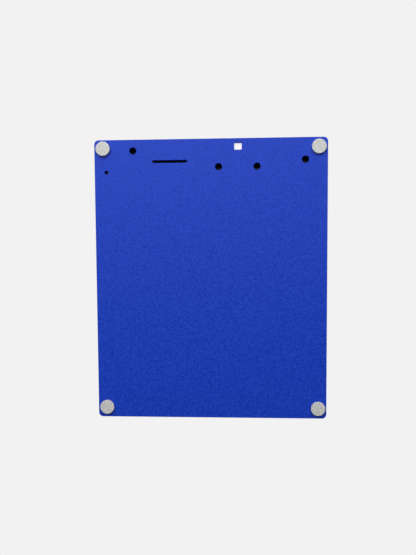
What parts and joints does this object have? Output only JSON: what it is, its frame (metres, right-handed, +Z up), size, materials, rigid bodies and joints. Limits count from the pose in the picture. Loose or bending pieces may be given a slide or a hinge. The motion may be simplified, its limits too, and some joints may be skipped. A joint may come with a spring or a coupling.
{
  "type": "enclosed single board computer",
  "caption": "Flat blue steel case on four round feet, with a computer board, fan, sockets, button, card and pin header inside.",
  "frame": {"origin": "under the middle of the case, on the surface that the feet stand on", "axes": "+X to the right seen from the front, +Y to the rear edge with the sockets, +Z up"},
  "size_m": [0.1308, 0.1568, 0.031],
  "materials": {
    "powder_coat": "finely textured blue powder coat on sheet steel",
    "foot_pad": "matt light grey stick-on pad",
    "solder_mask": "satin black solder mask on a glass fibre board",
    "black_steel": "black oxide steel",
    "aluminium": "turned and milled, bare",
    "black_aluminium": "black anodised",
    "chip_resin": "moulded resin",
    "plated_steel": "nickel plated, bright",
    "blue_plastic": "moulded blue plastic",
    "black_plastic": "moulded black plastic",
    "opal_plastic": "moulded white plastic"
  },
  "bodies": {
    "enclosure": {"bottom_plate": "powder_coat", "cover": "powder_coat", "front_panel": "powder_coat", "rear_panel": "powder_coat", "foot_rear_right": "foot_pad", "foot_rear_left": "foot_pad", "foot_front_right": "foot_pad", "foot_front_left": "foot_pad", "mainboard": "solder_mask", "plate_screw_rear_right": "black_steel", "plate_screw_rear_left": "black_steel", "plate_screw_front_right": "black_steel", "plate_screw_front_left": "black_steel", "cover_screw_rear_right": "black_steel", "cover_screw_rear_left": "black_steel", "cover_screw_front_right": "black_steel", "cover_screw_front_left": "black_steel", "panel_screw_rear_right": "black_steel", "panel_screw_rear_left": "black_steel", "panel_screw_front_right": "black_steel", "panel_screw_front_left": "black_steel", "spacer_rear_right": "aluminium", "spacer_rear_left": "aluminium", "spacer_front_right": "aluminium", "spacer_front_left": "aluminium", "post_rear_right": "aluminium", "post_rear_left": "aluminium", "post_front_right": "aluminium", "post_front_left": "aluminium", "heat_sink": "black_aluminium", "processor": "chip_resin", "memory_chip_rear": "chip_resin", "memory_chip_front": "chip_resin", "storage_chip": "chip_resin", "ethernet_socket": "plated_steel", "usb_socket": "plated_steel", "hdmi_socket": "plated_steel", "usb_c_socket": "plated_steel", "power_jack_pin": "plated_steel", "card_socket": "plated_steel", "coin_cell": "plated_steel", "usb_insert": "blue_plastic", "hdmi_insert": "black_plastic", "usb_c_insert": "black_plastic", "power_jack": "black_plastic", "audio_jack": "black_plastic", "power_switch": "black_plastic", "pin_header": "black_plastic", "cell_holder": "black_plastic", "fan_frame": "black_plastic", "reset_switch": "black_plastic", "front_light_guide": "opal_plastic", "window_light_guide": "opal_plastic", "status_light": "opal_plastic", "ribbon_connector": "opal_plastic"},
    "power_button": {"power_button": "black_plastic"},
    "reset_plunger": {"reset_plunger": "black_plastic"},
    "memory_card": {"memory_card": "black_plastic"},
    "ribbon_latch": {"ribbon_latch": "black_plastic"},
    "fan_rotor": {"fan_rotor": "black_plastic"}
  },
  "joints": [
    {"name": "power_button_press", "type": "slide", "parent": "enclosure", "child": "power_button", "axis": [0, 1, 0], "range_m": [0, 0.0005], "stiffness_N_per_m": 1500, "springref_m": -0.0003},
    {"name": "reset_press", "type": "slide", "parent": "enclosure", "child": "reset_plunger", "axis": [0, 0, 1], "range_m": [0, 0.00025], "stiffness_N_per_m": 1500, "springref_m": -0.0003},
    {"name": "memory_card_slide", "type": "slide", "parent": "enclosure", "child": "memory_card", "axis": [0, -1, 0], "range_m": [-0.0004, 0.012]},
    {"name": "ribbon_latch_slide", "type": "slide", "parent": "enclosure", "child": "ribbon_latch", "axis": [0, 0, -1], "range_m": [0, 0.0007]},
    {"name": "fan_spin", "type": "hinge", "parent": "enclosure", "child": "fan_rotor", "pos_m": [-0.008, 0.004, 0.0255], "axis": [0, 0, 1], "continuous": true}
  ]
}
